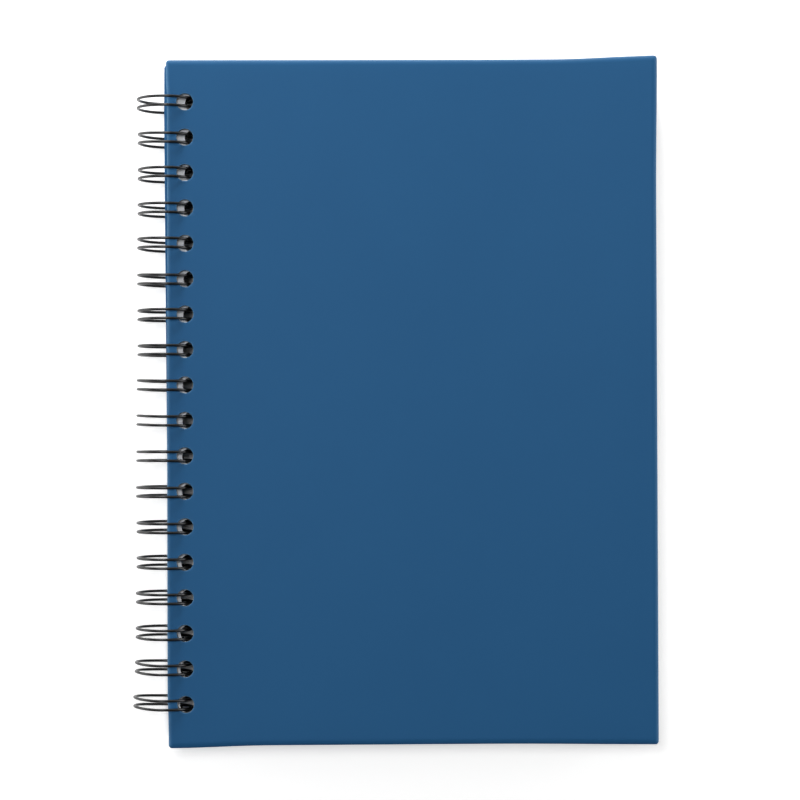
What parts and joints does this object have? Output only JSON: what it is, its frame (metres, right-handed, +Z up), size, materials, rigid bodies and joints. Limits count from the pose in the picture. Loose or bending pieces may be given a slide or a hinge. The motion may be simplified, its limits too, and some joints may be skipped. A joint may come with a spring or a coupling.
{
  "type": "wire-bound hardcover notebook",
  "caption": "Hardcover notebook with blue paper-wrapped boards, a row of punched holes and a black twin-loop wire binding that the covers and the page block turn on.",
  "frame": {"origin": "on the surface that the closed notebook lies on, under the middle of its outline", "axes": "+X from the wire binding to the fore-edge, +Y from the tail to the head along the binding, +Z up out of the front cover"},
  "size_m": [0.1878, 0.247, 0.021],
  "materials": {
    "wire": "black coated steel wire, satin",
    "page_paper": "white writing paper, matte",
    "greyboard": "pressed grey board, matte",
    "cover_paper": "blue covering paper, matte with a faint sheen",
    "endpaper": "off-white endpaper, matte"
  },
  "bodies": {
    "back": {"binding_wire": "wire", "back_board": "greyboard", "back_cover_wrap": "cover_paper", "back_endpaper": "endpaper"},
    "pages": {"page_block": "page_paper"},
    "front": {"front_board": "greyboard", "front_cover_wrap": "cover_paper", "front_endpaper": "endpaper"}
  },
  "joints": [
    {"name": "page_turn", "type": "hinge", "parent": "back", "child": "pages", "pos_m": [-0.0834, 0, 0.01052], "axis": [0, -1, 0], "range_deg": [0, 181.7]},
    {"name": "front_turn", "type": "hinge", "parent": "pages", "child": "front", "pos_m": [-0.0834, 0, 0.01052], "axis": [0, -1, 0], "range_deg": [0, 181.7]}
  ]
}
